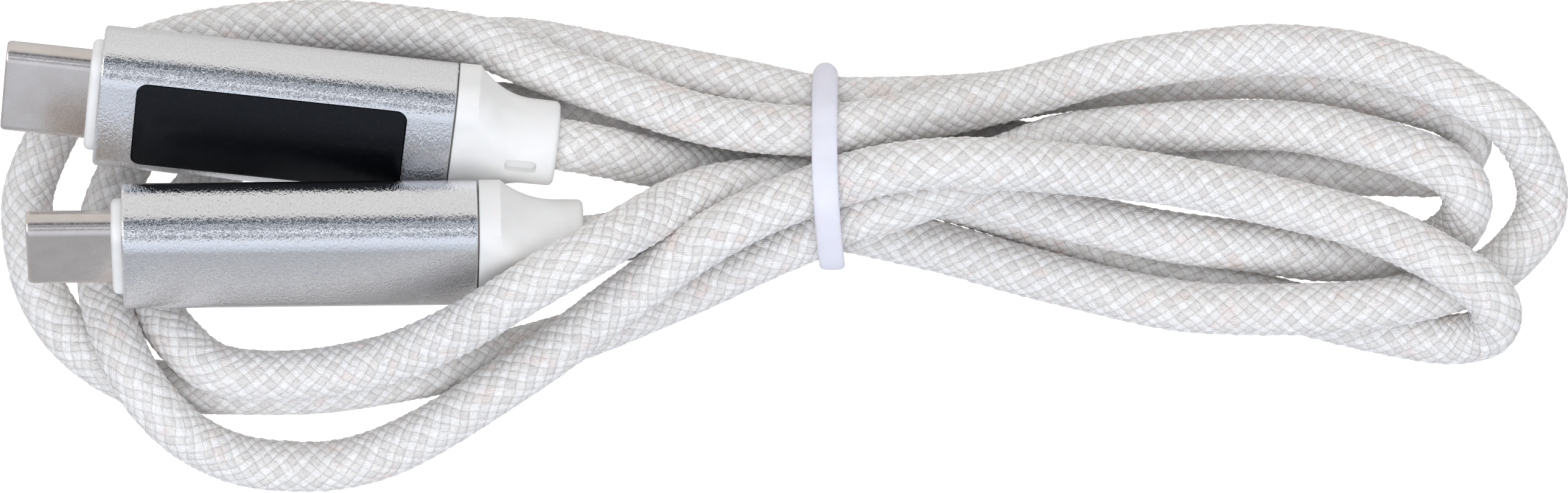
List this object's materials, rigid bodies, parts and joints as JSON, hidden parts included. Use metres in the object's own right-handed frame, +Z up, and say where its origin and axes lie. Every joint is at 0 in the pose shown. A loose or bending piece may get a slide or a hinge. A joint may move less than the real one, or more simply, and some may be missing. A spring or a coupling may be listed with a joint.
{
  "type": "usb power meter cable",
  "caption": "Braided USB-C cable folded into a tied flat hank, with a small display window in one slim metal plug housing and a plain housing at the other end.",
  "frame": {"origin": "on the flat underside of the tie, at the middle of the strand bundle, in the plane that the hank rests on", "axes": "+X along the hank, from the plugs' end towards the plain folds; +Z up, out of the rest plane; +Y towards the side that the meter plug lies on"},
  "size_m": [0.1267, 0.0397, 0.0163],
  "materials": {
    "aluminium": "fine bead-blasted, clear anodised",
    "black_plastic": "moulded",
    "black_rubber": "matte",
    "board": "solder mask on glass laminate",
    "braid": "woven polyester sleeve",
    "display": "dark panel",
    "gold": "gold flash",
    "grey_plastic": "moulded",
    "silicone": "soft matte silicone",
    "spring_steel": "bare spring steel",
    "steel": "satin nickel plate",
    "white_plastic": "smooth matte",
    "white_rubber": "matte moulded",
    "window_glass": "polished dark window",
    "wire_control": "insulated wire",
    "wire_data_minus": "insulated wire",
    "wire_data_plus": "insulated wire",
    "wire_ground": "insulated wire",
    "wire_power": "insulated wire"
  },
  "bodies": {
    "root": {"meter_housing": "aluminium", "meter_front_collar": "white_plastic", "meter_plug_shell": "steel", "meter_plug_insulator": "black_plastic", "meter_contacts_upper": "gold", "meter_contacts_lower": "gold", "meter_latch_plate": "spring_steel", "meter_boot": "white_rubber", "meter_circuit_board": "board", "meter_inner_holder": "grey_plastic", "meter_crimp_ring": "steel", "meter_wire_power": "wire_power", "meter_wire_ground": "wire_ground", "meter_wire_data_plus": "wire_data_plus", "meter_wire_data_minus": "wire_data_minus", "meter_wire_control": "wire_control", "meter_window": "window_glass", "meter_window_gasket": "black_rubber", "meter_display": "display", "meter_controller_chip": "black_plastic", "meter_shunt_resistor": "black_plastic", "plain_housing": "aluminium", "plain_front_collar": "white_plastic", "plain_plug_shell": "steel", "plain_plug_insulator": "black_plastic", "plain_contacts_upper": "gold", "plain_contacts_lower": "gold", "plain_latch_plate": "spring_steel", "plain_boot": "white_rubber", "plain_circuit_board": "board", "plain_inner_holder": "grey_plastic", "plain_crimp_ring": "steel", "plain_wire_power": "wire_power", "plain_wire_ground": "wire_ground", "plain_wire_data_plus": "wire_data_plus", "plain_wire_data_minus": "wire_data_minus", "plain_wire_control": "wire_control", "plain_marker_chip": "black_plastic", "cord": "braid", "tie_band": "silicone"}
  },
  "joints": []
}
